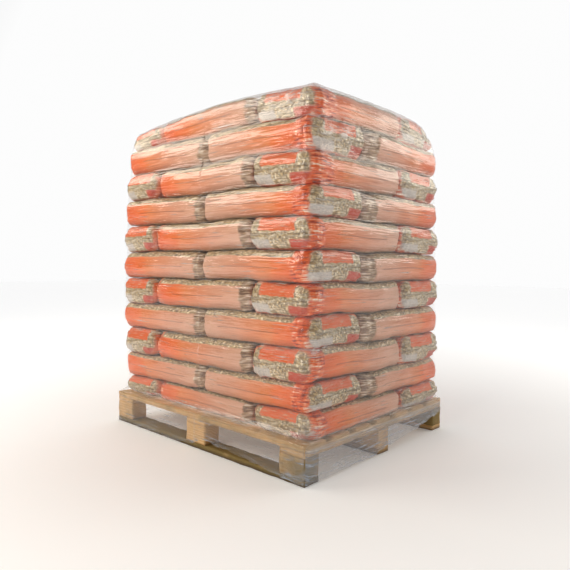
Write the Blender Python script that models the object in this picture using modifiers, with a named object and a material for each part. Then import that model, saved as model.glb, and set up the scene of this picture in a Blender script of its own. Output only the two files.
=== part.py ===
"""A block pallet loaded with sacks of wood pellets, wound in stretch film.

The origin is on the floor under the middle of the pallet. +X runs along the
pallet's long side, +Y along its short side and +Z up. All sizes are metres.
"""
import math

import bmesh
import bpy
from mathutils import Matrix, Vector

# Pallet
PALLET_LENGTH = 1.200
PALLET_WIDTH = 1.000
BOTTOM_BOARD_THICKNESS = 0.022
BLOCK_HEIGHT = 0.078
STRINGER_THICKNESS = 0.020
DECK_THICKNESS = 0.022
BLOCK_LENGTH = 0.120
BLOCK_WIDTH = 0.078
EDGE_BOARD_WIDTH = 0.120
INNER_BOARD_WIDTH = 0.100
INNER_BOARD_COUNT = 5

# Load
LAYER_COUNT = 11
BOTTOM_LAYER_HEIGHTS = [0.090, 0.106]
LAYER_HEIGHT = 0.1215
TOP_LAYER_HEIGHT = 0.108

# Where the sacks bulge most on each side of the load: at its foot, halfway up and at its top
LOAD_LEFT = (-0.602, -0.605, -0.609)
LOAD_RIGHT = (0.599, 0.597, 0.575)
LOAD_FRONT = (-0.463, -0.483, -0.438)
LOAD_BACK = (0.488, 0.468, 0.478)

# Sacks
SACK_JOINT = 0.005       # between two sacks that lie side by side or end to end
CROSS_JOINT = 0.006      # between the end of a sack and the side of the next
FRONT_ROW = 0.313        # width of the two sacks across the front of an even layer
BACK_ROW = 0.342         # and of the two across the back of an odd layer
JOINT_SHIFT = 0.025      # how far the joint in the front row lies to the right of its middle
SACK_ROUNDING = 0.045
TAIL_ROUNDING = 0.022    # at the inner end, pressed flat against the next sack
FLAT_SACK_ROUNDING = 0.42  # of the height, on the flattened sacks of the bottom layers
SACK_ROUNDING_STEPS = 2
CORE_INSET = 0.085       # how deep the joints between sacks are cut into a layer's sides
CORE_GROOVE = 0.018      # and into its top and bottom
GATHER_LENGTH = 0.066    # a gathered tail narrows this far from its end
GATHER_INSET = 0.009     # and stands back this much on both sides
GATHER_HEIGHT = 0.96     # of the sack's height

# Stretch film
FILM_THICKNESS = 0.0006
FILM_CLEARANCE = 0.0006  # off the sacks' bulges
FILM_CREASE = 0.009      # how far it is drawn in between two layers
FILM_ROUNDING = 0.032
RIM_ROUNDING = 0.0006
FILM_CORNER_STEPS = 2
FILM_HEM_HEIGHT = 0.1215

CONTACT_GAP = 0.0003     # between pieces that rest on each other

STRINGER_BOTTOM = BOTTOM_BOARD_THICKNESS + BLOCK_HEIGHT
DECK_BOTTOM = STRINGER_BOTTOM + STRINGER_THICKNESS
DECK_TOP = DECK_BOTTOM + DECK_THICKNESS


def clear_scene():
    for thing in list(bpy.data.objects):
        bpy.data.objects.remove(thing)


def make_collection(name):
    collection = bpy.data.collections.new(name)
    bpy.context.scene.collection.children.link(collection)
    return collection


def principled(name, colour, roughness, alpha=1.0):
    material = bpy.data.materials.new(name)
    material.use_nodes = True
    shader = material.node_tree.nodes["Principled BSDF"]
    shader.inputs["Base Color"].default_value = (*colour, 1.0)
    shader.inputs["Roughness"].default_value = roughness
    shader.inputs["Metallic"].default_value = 0.0
    shader.inputs["Alpha"].default_value = alpha
    return material


def mesh_of(shape, name):
    mesh = bpy.data.meshes.new(name)
    shape.to_mesh(mesh)
    shape.free()
    return mesh


def box_mesh(name, size):
    """A box with its sizes in the mesh, centred on its origin."""
    mesh = bpy.data.meshes.new(name)
    shape = bmesh.new()
    bmesh.ops.create_cube(shape, size=1.0, matrix=Matrix.Diagonal((*size, 1.0)))
    shape.to_mesh(mesh)
    shape.free()
    return mesh


def place(collection, name, mesh, centre, material):
    if not mesh.materials:
        mesh.materials.append(material)
    piece = bpy.data.objects.new(name, mesh)
    piece.location = centre
    collection.objects.link(piece)
    return piece


# Pallet

def three_across(full, piece):
    """Centres of three equal pieces, one at each edge and one in the middle."""
    edge = (full - piece) / 2
    return [-edge, 0.0, edge]


def bottom_boards(collection, pine):
    height = BOTTOM_BOARD_THICKNESS - CONTACT_GAP
    mesh = box_mesh("bottom_board", (PALLET_LENGTH, BLOCK_WIDTH, height))
    for number, y in enumerate(three_across(PALLET_WIDTH, BLOCK_WIDTH), 1):
        place(collection, f"bottom_board_{number}", mesh, (0, y, height / 2), pine)


def blocks(collection, pine):
    height = BLOCK_HEIGHT - CONTACT_GAP
    mesh = box_mesh("block", (BLOCK_LENGTH, BLOCK_WIDTH, height))
    z = BOTTOM_BOARD_THICKNESS + height / 2
    number = 0
    for x in three_across(PALLET_LENGTH, BLOCK_LENGTH):
        for y in three_across(PALLET_WIDTH, BLOCK_WIDTH):
            number += 1
            place(collection, f"block_{number}", mesh, (x, y, z), pine)


def stringer_boards(collection, pine):
    height = STRINGER_THICKNESS - CONTACT_GAP
    mesh = box_mesh("stringer_board", (BLOCK_LENGTH, PALLET_WIDTH, height))
    z = STRINGER_BOTTOM + height / 2
    for number, x in enumerate(three_across(PALLET_LENGTH, BLOCK_LENGTH), 1):
        place(collection, f"stringer_board_{number}", mesh, (x, 0, z), pine)


def deck_boards(collection, pine):
    height = DECK_THICKNESS - CONTACT_GAP
    wide = box_mesh("edge_deck_board", (PALLET_LENGTH, EDGE_BOARD_WIDTH, height))
    narrow = box_mesh("inner_deck_board", (PALLET_LENGTH, INNER_BOARD_WIDTH, height))
    room = PALLET_WIDTH - 2 * EDGE_BOARD_WIDTH
    gap = (room - INNER_BOARD_COUNT * INNER_BOARD_WIDTH) / (INNER_BOARD_COUNT + 1)
    z = DECK_BOTTOM + height / 2
    edge = (PALLET_WIDTH - EDGE_BOARD_WIDTH) / 2
    place(collection, "deck_board_1", wide, (0, -edge, z), pine)
    for number in range(INNER_BOARD_COUNT):
        y = -room / 2 + gap + INNER_BOARD_WIDTH / 2 + number * (INNER_BOARD_WIDTH + gap)
        place(collection, f"deck_board_{number + 2}", narrow, (0, y, z), pine)
    place(collection, f"deck_board_{INNER_BOARD_COUNT + 2}", wide, (0, edge, z), pine)


# Load

def layer_heights():
    full = LAYER_COUNT - len(BOTTOM_LAYER_HEIGHTS) - 1
    return BOTTOM_LAYER_HEIGHTS + [LAYER_HEIGHT] * full + [TOP_LAYER_HEIGHT]


def load_top():
    return DECK_TOP + sum(layer_heights())


def load_side(places, z):
    """Where a side of the load is at a height, on the curve through its three measured places."""
    share = (z - DECK_TOP) / (load_top() - DECK_TOP)
    foot, middle, top = places
    return (foot * (1 - share) * (1 - 2 * share) + 4 * middle * share * (1 - share)
            + top * share * (2 * share - 1))


def load_outline(z):
    """Half the length and width of the load at a height, and its centre there."""
    left, right = load_side(LOAD_LEFT, z), load_side(LOAD_RIGHT, z)
    front, back = load_side(LOAD_FRONT, z), load_side(LOAD_BACK, z)
    return ((right - left) / 2, (back - front) / 2), ((left + right) / 2, (front + back) / 2)


def sack_rounding(height):
    return min(SACK_ROUNDING, height * FLAT_SACK_ROUNDING)


def round_off(shape, edges, offset):
    bmesh.ops.bevel(shape, geom=edges, offset=offset, offset_type="OFFSET", segments=SACK_ROUNDING_STEPS,
                    profile=0.5, affect="EDGES", clamp_overlap=True)


def sack_mesh(length, width, height, gathered):
    """One sack along X, a box with rounded edges; its tail, gathered or not, is at its +X end."""
    shape = bmesh.new()
    bmesh.ops.create_cube(shape, size=1.0, matrix=Matrix.Diagonal((length, width, height, 1.0)))

    def at_tail(edge):
        return all(corner.co.x > length / 2 - 0.0001 for corner in edge.verts)

    round_off(shape, [edge for edge in shape.edges if not at_tail(edge)], sack_rounding(height))
    round_off(shape, [edge for edge in shape.edges if at_tail(edge)], TAIL_ROUNDING)
    if gathered:
        start = length / 2 - GATHER_LENGTH
        bmesh.ops.bisect_plane(shape, geom=shape.verts[:] + shape.edges[:] + shape.faces[:],
                               plane_co=(start, 0, 0), plane_no=(1, 0, 0))
        for corner in shape.verts:
            if corner.co.x > start + 0.001:
                corner.co.y *= 1 - 2 * GATHER_INSET / width
                corner.co.z *= GATHER_HEIGHT
    return mesh_of(shape, "sack")


def lay_sack(shape, low, high, heading, gathered, z_middle, height):
    """Adds a sack between two corners of the plan; heading is the way its tail points, as (x, y)."""
    x_size, y_size = high[0] - low[0], high[1] - low[1]
    length, width = (x_size, y_size) if heading[0] else (y_size, x_size)
    sack = sack_mesh(length, width, height, gathered)
    middle = Vector(((low[0] + high[0]) / 2, (low[1] + high[1]) / 2, z_middle))
    turn = Matrix.Rotation(math.atan2(heading[1], heading[0]), 4, "Z")
    sack.transform(Matrix.Translation(middle) @ turn)
    shape.from_mesh(sack)
    bpy.data.meshes.remove(sack)


def odd_plan(length, width):
    """Three sacks run front to back and the middle column is turned across them."""
    end = (length - 3 * SACK_JOINT) / 4
    long = width - CROSS_JOINT - BACK_ROW
    half = (length - SACK_JOINT) / 2
    inner, outer = end + SACK_JOINT, length - end - SACK_JOINT
    back = width - BACK_ROW
    yield (0, 0), (end, long), (0, 1), True
    yield (length - end, 0), (length, long), (0, 1), False
    yield (inner, 0), (outer, end), (1, 0), True
    yield (inner, end + SACK_JOINT), (outer, long), (-1, 0), True
    yield (0, back), (half, width), (1, 0), True
    yield (half + SACK_JOINT, back), (length, width), (-1, 0), False


def even_plan(length, width):
    """Two sacks lie across the front and four run front to back behind them."""
    end = (length - 3 * SACK_JOINT) / 4
    joint = (length - SACK_JOINT) / 2 + JOINT_SHIFT
    start = FRONT_ROW + CROSS_JOINT
    yield (0, 0), (joint, FRONT_ROW), (1, 0), True
    yield (joint + SACK_JOINT, 0), (length, FRONT_ROW), (-1, 0), False
    for number in range(4):
        left = number * (end + SACK_JOINT)
        yield (left, start), (left + end, width), (0, -1), True


def layer(parts, tools, number, z_low, height, film):
    """One layer of six sacks: a plain core joined to the sacks around it."""
    z_middle = z_low + height / 2
    half, centre = load_outline(z_middle)
    length, width = 2 * half[0], 2 * half[1]
    name = f"layer_{number:02d}"
    core_size = (length - 2 * CORE_INSET, width - 2 * CORE_INSET, height - 2 * CORE_GROOVE)
    core = place(parts, name, box_mesh(name, core_size), (*centre, z_middle), film)
    plan = odd_plan(length, width) if number % 2 else even_plan(length, width)
    sacks = bmesh.new()
    for low, high, heading, gathered in plan:
        lay_sack(sacks, low, high, heading, gathered, z_middle, height - CONTACT_GAP)
    tool = bpy.data.objects.new(f"{name}_sacks", mesh_of(sacks, f"{name}_sacks"))
    tool.location = (centre[0] - half[0], centre[1] - half[1], 0)
    tool.hide_render = True
    tool.display_type = "WIRE"
    tools.objects.link(tool)
    joined = core.modifiers.new("join sacks", "BOOLEAN")
    joined.operation = "UNION"
    joined.object = tool
    return core


def load(parts, tools, film):
    z = DECK_TOP
    for number, height in enumerate(layer_heights(), 1):
        layer(parts, tools, number, z, height, film)
        z += height


# Stretch film

def add_ring(shape, x_half, y_half, centre, z, rounding):
    """A loop of edges along a rectangle with rounded corners, at one height."""
    flat = bmesh.new()
    matrix = Matrix.Diagonal((2 * x_half, 2 * y_half, 1.0, 1.0))
    bmesh.ops.create_grid(flat, x_segments=1, y_segments=1, size=0.5, matrix=matrix)
    bmesh.ops.bevel(flat, geom=flat.verts[:], offset=rounding, segments=FILM_CORNER_STEPS,
                    profile=0.5, affect="VERTICES")
    outline = [loop.vert.co.copy() for loop in next(iter(flat.faces)).loops]
    flat.free()
    corners = [shape.verts.new((p.x + centre[0], p.y + centre[1], z)) for p in outline]
    count = len(corners)
    return [shape.edges.new((corners[i], corners[(i + 1) % count])) for i in range(count)]


def film_outline(z, out):
    """The load's outline at a height, with its half sizes moved out."""
    half, centre = load_outline(z)
    return (half[0] + out, half[1] + out), centre


def film_stations():
    """Half sizes, centre, height and rounding of the film, from its hem to its top edge."""
    rim = (PALLET_LENGTH / 2 + CONTACT_GAP, PALLET_WIDTH / 2 + CONTACT_GAP)
    yield rim, (0.0, 0.0), FILM_HEM_HEIGHT, RIM_ROUNDING
    yield rim, (0.0, 0.0), DECK_TOP + CONTACT_GAP, RIM_ROUNDING
    z = DECK_TOP
    for number, height in enumerate(layer_heights()):
        if number:
            yield *film_outline(z, FILM_CLEARANCE - FILM_CREASE), z, FILM_ROUNDING
        taut = film_outline(z + height / 2, FILM_CLEARANCE)
        rounding = sack_rounding(height)
        yield *taut, z + rounding, FILM_ROUNDING
        z += height
        yield *taut, z - rounding, FILM_ROUNDING
    top = film_outline(load_top(), FILM_CLEARANCE - FILM_CREASE)
    yield *top, load_top() + CONTACT_GAP, FILM_ROUNDING


def stretch_film(collection, film):
    shape = bmesh.new()
    rings = [add_ring(shape, *half, middle, z, rounding)
             for half, middle, z, rounding in film_stations()]
    for lower, upper in zip(rings, rings[1:]):
        bmesh.ops.bridge_loops(shape, edges=lower + upper)
    bmesh.ops.contextual_create(shape, geom=rings[-1])
    bmesh.ops.recalc_face_normals(shape, faces=shape.faces[:])
    sleeve = place(collection, "stretch_film", mesh_of(shape, "stretch_film"), (0, 0, 0), film)
    thick = sleeve.modifiers.new("film thickness", "SOLIDIFY")
    thick.thickness = FILM_THICKNESS
    thick.offset = 1.0
    return sleeve


def main():
    clear_scene()
    parts = make_collection("pallet_of_sacks")
    tools = make_collection("layer_tools")
    pine = principled("sawn_pine", (0.56, 0.42, 0.25), 0.80)
    sack_film = principled("printed_sack_film", (0.80, 0.25, 0.10), 0.35)
    clear_film = principled("clear_stretch_film", (0.80, 0.80, 0.82), 0.15, alpha=0.3)
    bottom_boards(parts, pine)
    blocks(parts, pine)
    stringer_boards(parts, pine)
    deck_boards(parts, pine)
    load(parts, tools, sack_film)
    stretch_film(parts, clear_film)


main()
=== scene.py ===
"""Looks of a pallet of sacks of wood pellets, wound in stretch film.

The frame gives the place and size of every layer and board. Here each sack,
board and sheet of film gets its own shape and finish. Sizes are in metres.
"""
import math

import bmesh
import bpy
import numpy as np
from mathutils import Matrix, Vector
from mathutils.bvhtree import BVHTree


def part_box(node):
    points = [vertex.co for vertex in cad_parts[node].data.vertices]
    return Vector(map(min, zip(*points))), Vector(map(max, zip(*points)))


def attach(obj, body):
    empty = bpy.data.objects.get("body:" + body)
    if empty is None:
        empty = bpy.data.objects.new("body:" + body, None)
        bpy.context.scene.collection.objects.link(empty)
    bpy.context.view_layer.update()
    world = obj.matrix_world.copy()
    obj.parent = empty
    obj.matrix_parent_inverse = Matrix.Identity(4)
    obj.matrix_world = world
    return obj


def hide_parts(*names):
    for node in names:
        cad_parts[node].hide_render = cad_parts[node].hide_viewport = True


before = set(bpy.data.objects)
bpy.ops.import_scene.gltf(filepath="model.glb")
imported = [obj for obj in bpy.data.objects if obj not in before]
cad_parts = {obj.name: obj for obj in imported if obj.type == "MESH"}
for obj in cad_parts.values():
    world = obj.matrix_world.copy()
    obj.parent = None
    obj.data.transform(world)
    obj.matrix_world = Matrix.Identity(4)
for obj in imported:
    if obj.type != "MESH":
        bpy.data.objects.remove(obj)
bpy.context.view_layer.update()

MM = 0.001
LAYERS = sorted(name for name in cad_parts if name.startswith("layer_"))

# Sacks, as laid in the frame
SACK_JOINT = 0.005
CROSS_JOINT = 0.006
FRONT_ROW = 0.335
BACK_ROW = 0.332
JOINT_SHIFT = 0.0045
LEFT_COLUMN = 0.262
RIGHT_COLUMN = 0.314
SIDE_BULGE = 0.050
SIDE_FULLNESS = 2.6
HEAD_LENGTH = 0.038
HEAD_INSET = 0.031
HEAD_FULLNESS = 2.6
TAIL_LENGTH = 0.024
TAIL_INSET = 0.018
TAIL_FULLNESS = 2.4
GATHER_INSET = 0.009
GATHER_HEIGHT = 0.96

# Points of a sack's mesh: round each side, over its flats and from end to end
SIDE_POINTS = 34
FLAT_POINTS = 8
CAP_RINGS = 9
HEAD_RINGS = 12
BODY_RINGS = 13
TAIL_RINGS = 12

# Stretch film
FILM_COLUMNS = 560
FILM_ROWS = 120
SHOULDER_ROWS = 10
TURNED_IN_ROWS = 9
FILM_LIFT = 0.0014
FILM_RING = 0.034
FILM_CORNER = 0.060
FILM_TURNED_IN = 0.120
TOP_SHEET_SPACING = 0.011
SKIRT_COLUMNS = 420
SKIRT_FOOT = 0.030
SKIRT_FLARE_ROWS = 14
SKIRT_DROP_ROWS = 20
RIM_GAP = 0.002
RIM_CORNER = 0.010
FILM_LOOK = "polyethylene_stretch_film"

# The spacing of a board's points
BOARD_SPACING = 0.011

# How far the seams between layers lie off level, at the near and the left corner
NEAR_CORNER = (0.59, -0.47)
LEFT_CORNER = (-0.60, -0.47)
CORNER_REACH = 0.45
SEAM_HEIGHTS = (0.142, 0.232, 0.338, 0.460, 0.581, 0.703, 0.824, 0.946, 1.067, 1.189, 1.310, 1.418)
NEAR_RISES = (0.000, 0.010, 0.009, 0.010, 0.006, 0.004, -0.001, 0.000, -0.009, -0.007, -0.003, 0.000)
LEFT_RISES = (0.000, -0.010, -0.002, 0.000, 0.000, 0.000, 0.000, 0.001, 0.002, 0.003, 0.006, -0.016)
BACK_CORNER = (0.59, 0.47)
DRAWN_IN_REACH = 0.16


# Numbers

def smooth_step(low, high, value):
    share = np.clip((value - low) / (high - low), 0.0, 1.0)
    return share * share * (3.0 - 2.0 * share)


def ripple(points, wavelength, seed, waves=7):
    """A smooth random field, about -1 to 1, whose swells are as long as wavelength.

    wavelength may be one size or one for each axis.
    """
    draw = np.random.default_rng(seed)
    directions = draw.normal(size=(waves, 3))
    directions /= np.linalg.norm(directions, axis=1)[:, None]
    phases = draw.uniform(0, 2 * math.pi, waves)
    lengths = draw.uniform(0.7, 1.4, waves)
    scaled = np.asarray(points) / np.asarray(wavelength)
    angles = 2 * math.pi * (scaled @ directions.T) / lengths + phases
    return np.sin(angles).sum(axis=-1) / math.sqrt(waves)


def creased(field):
    """Turns swells into sharp crests with soft valleys between."""
    return 1.0 - 2.0 * np.abs(field)


def load_box():
    boxes = [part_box(layer) for layer in LAYERS]
    low = [min(box[0][axis] for box in boxes) for axis in range(3)]
    high = [max(box[1][axis] for box in boxes) for axis in range(3)]
    return np.array(low), np.array(high)


LOAD_LOW, LOAD_HIGH = load_box()


def draw_in(points):
    """Moves the top layer as the film pulls on it: corners inward, and the front crowned between them."""
    top_share = smooth_step(LOAD_HIGH[2] - 0.13, LOAD_HIGH[2] - 0.02, points[..., 2])
    moved = points.copy()
    for corner, pull in ((BACK_CORNER, (-0.027, -0.060, -0.006)), (LEFT_CORNER, (0.024, 0.010, -0.012)),
                         (NEAR_CORNER, (-0.005, 0.005, -0.007))):
        away = ((points[..., :2] - np.array(corner)) ** 2).sum(axis=-1)
        share = top_share * np.exp(-away / DRAWN_IN_REACH ** 2)
        moved += share[..., None] * np.array(pull)
    crown = np.exp(-((points[..., 0] - 0.02) / 0.30) ** 2 - ((points[..., 1] + 0.45) / 0.35) ** 2)
    moved[..., 2] += 0.012 * top_share * crown
    return moved


def slump(points):
    """Moves points a little, all pieces alike, as a hand-stacked load settles."""
    rise = smooth_step(LOAD_LOW[2], LOAD_LOW[2] + 0.10, points[..., 2])
    top = 1.0 - 0.6 * smooth_step(LOAD_HIGH[2] - 0.05, LOAD_HIGH[2], points[..., 2])
    moved = points.copy()
    moved[..., 0] += 0.0035 * rise * ripple(points, (0.9, 0.5, 0.16), 11)
    moved[..., 1] += 0.0035 * rise * ripple(points, (0.5, 0.9, 0.16), 12)
    moved[..., 2] += 0.0040 * rise * top * ripple(points, (0.40, 0.40, 0.9), 13)
    for corner, rises in ((NEAR_CORNER, NEAR_RISES), (LEFT_CORNER, LEFT_RISES)):
        away = ((points[..., :2] - np.array(corner)) ** 2).sum(axis=-1)
        moved[..., 2] += np.exp(-away / CORNER_REACH ** 2) * np.interp(points[..., 2], SEAM_HEIGHTS, rises)
    return draw_in(moved)


# Meshes

def grid_faces(rows, columns, wrap):
    """Quads between rows of points; wrap joins the last column to the first."""
    last = columns if wrap else columns - 1
    row, column = np.meshgrid(np.arange(rows - 1), np.arange(last), indexing="ij")
    after = (column + 1) % columns
    near, far = row * columns, (row + 1) * columns
    return np.stack([near + column, near + after, far + after, far + column], axis=-1).reshape(-1, 4)


def mesh_object(name, points, faces):
    mesh = bpy.data.meshes.new(name)
    mesh.from_pydata(points.tolist(), [], [list(map(int, face)) for face in faces])
    mesh.update()
    mesh.shade_smooth()
    piece = bpy.data.objects.new(name, mesh)
    bpy.context.scene.collection.objects.link(piece)
    return piece


def keep_vector(piece, name, values):
    attribute = piece.data.attributes.new(name, "FLOAT_VECTOR", "POINT")
    attribute.data.foreach_set("vector", np.ascontiguousarray(values, dtype=np.float32).ravel())


def keep_number(piece, name, values):
    attribute = piece.data.attributes.new(name, "FLOAT", "POINT")
    attribute.data.foreach_set("value", np.ascontiguousarray(values, dtype=np.float32).ravel())


def surface_normals(grid, wrap=True):
    """Outward normals of a grid of points that runs along its rows."""
    along = np.gradient(grid, axis=0)
    if wrap:
        around = np.roll(grid, -1, axis=1) - np.roll(grid, 1, axis=1)
    else:
        around = np.gradient(grid, axis=1)
    normal = np.cross(around, along)
    return normal / np.maximum(np.linalg.norm(normal, axis=-1, keepdims=True), 1e-9)


# Colours and materials

def linear(colour):
    """An sRGB hex colour as the linear red, green, blue and alpha that shaders take."""
    parts = [int(colour[i:i + 2], 16) / 255 for i in (1, 3, 5)]
    return [p / 12.92 if p <= 0.04045 else ((p + 0.055) / 1.055) ** 2.4 for p in parts] + [1.0]


def add(tree, kind, inputs=None, stops=None, **settings):
    """Adds a node with its settings; inputs are values or sockets, by name or number."""
    made = tree.nodes.new(kind)
    for key, value in settings.items():
        setattr(made, key, value)
    for key, value in (inputs or {}).items():
        if isinstance(value, bpy.types.NodeSocket):
            tree.links.new(value, made.inputs[key])
        else:
            made.inputs[key].default_value = value
    if stops:
        ramp = made.color_ramp
        while len(ramp.elements) < len(stops):
            ramp.elements.new(0.5)
        for element, (position, colour) in zip(ramp.elements, stops):
            element.position = position
            element.color = linear(colour)
    return made


def sums(tree, operation, first, second, third=0.0):
    """One step of arithmetic on sockets or numbers."""
    return add(tree, "ShaderNodeMath", {0: first, 1: second, 2: third}, operation=operation).outputs[0]


def apart(tree, value, middle=0.0):
    """How far value lies from middle, to either side."""
    return sums(tree, "ABSOLUTE", sums(tree, "SUBTRACT", value, middle), 0.0)


def drawn_noise(tree, place, stretch, size, detail, roughness=0.5, distortion=0.0):
    """Noise with grains of size mm, drawn out along the axes whose stretch is below 1."""
    mapped = add(tree, "ShaderNodeMapping", {"Vector": place, "Scale": stretch}).outputs[0]
    return add(tree, "ShaderNodeTexNoise", {"Vector": mapped, "Scale": 1 / (size * MM), "Detail": detail,
                                            "Roughness": roughness, "Distortion": distortion}).outputs["Fac"]


def ramped(tree, value, start, stop, low=0.0, high=1.0):
    """value, spread from low to high between start and stop, and held outside them."""
    inputs = {"Value": value, "From Min": start, "From Max": stop, "To Min": low, "To Max": high}
    return add(tree, "ShaderNodeMapRange", inputs).outputs[0]


def blended(tree, share, under, over):
    """Colour over laid on colour under by its share."""
    mix = add(tree, "ShaderNodeMix", data_type="RGBA")
    for socket, value in ((mix.inputs[0], share), (mix.inputs[6], under), (mix.inputs[7], over)):
        if isinstance(value, bpy.types.NodeSocket):
            tree.links.new(value, socket)
        else:
            socket.default_value = value
    return mix.outputs[2]


def stored(tree, name, output="Fac"):
    return add(tree, "ShaderNodeAttribute", attribute_name=name).outputs[output]


def new_material(name):
    material = bpy.data.materials.new(name)
    material.use_nodes = True
    tree = material.node_tree
    return material, tree, tree.nodes["Principled BSDF"]


def pellet_filling(tree, rest):
    """Wood pellets behind clear film: their colour, and how far each point is from a pellet's middle."""
    # Pellets of 6 by 20 mm lie every way; their ends and sides show as grains 7 mm wide
    warp = add(tree, "ShaderNodeTexNoise", {"Vector": rest, "Scale": 1 / (40 * MM), "Detail": 1.0})
    bent = add(tree, "ShaderNodeVectorMath", {0: warp.outputs["Color"], 1: (0.03, 0.03, 0.03), 2: rest},
               operation="MULTIPLY_ADD")
    lying = add(tree, "ShaderNodeMapping", {"Vector": bent.outputs[0], "Scale": (0.6, 1.0, 1.0)})
    cells = add(tree, "ShaderNodeTexVoronoi", {"Vector": lying.outputs[0], "Scale": 1 / (7 * MM)})
    shade = add(tree, "ShaderNodeSeparateColor", {0: cells.outputs["Color"]}).outputs[0]
    pellet = add(tree, "ShaderNodeValToRGB", {"Fac": shade},
                 stops=[(0.0, "#86683C"), (0.3, "#B89A68"), (0.7, "#D8BE8C"), (1.0, "#F2E4C4")])
    # The gaps between pellets are painted dark brown: painted shade between them
    gap = ramped(tree, cells.outputs["Distance"], 0.38, 0.74, 0.0, 0.8)
    return blended(tree, gap, pellet.outputs[0], linear("#5C4425")), cells.outputs["Distance"]


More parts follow.
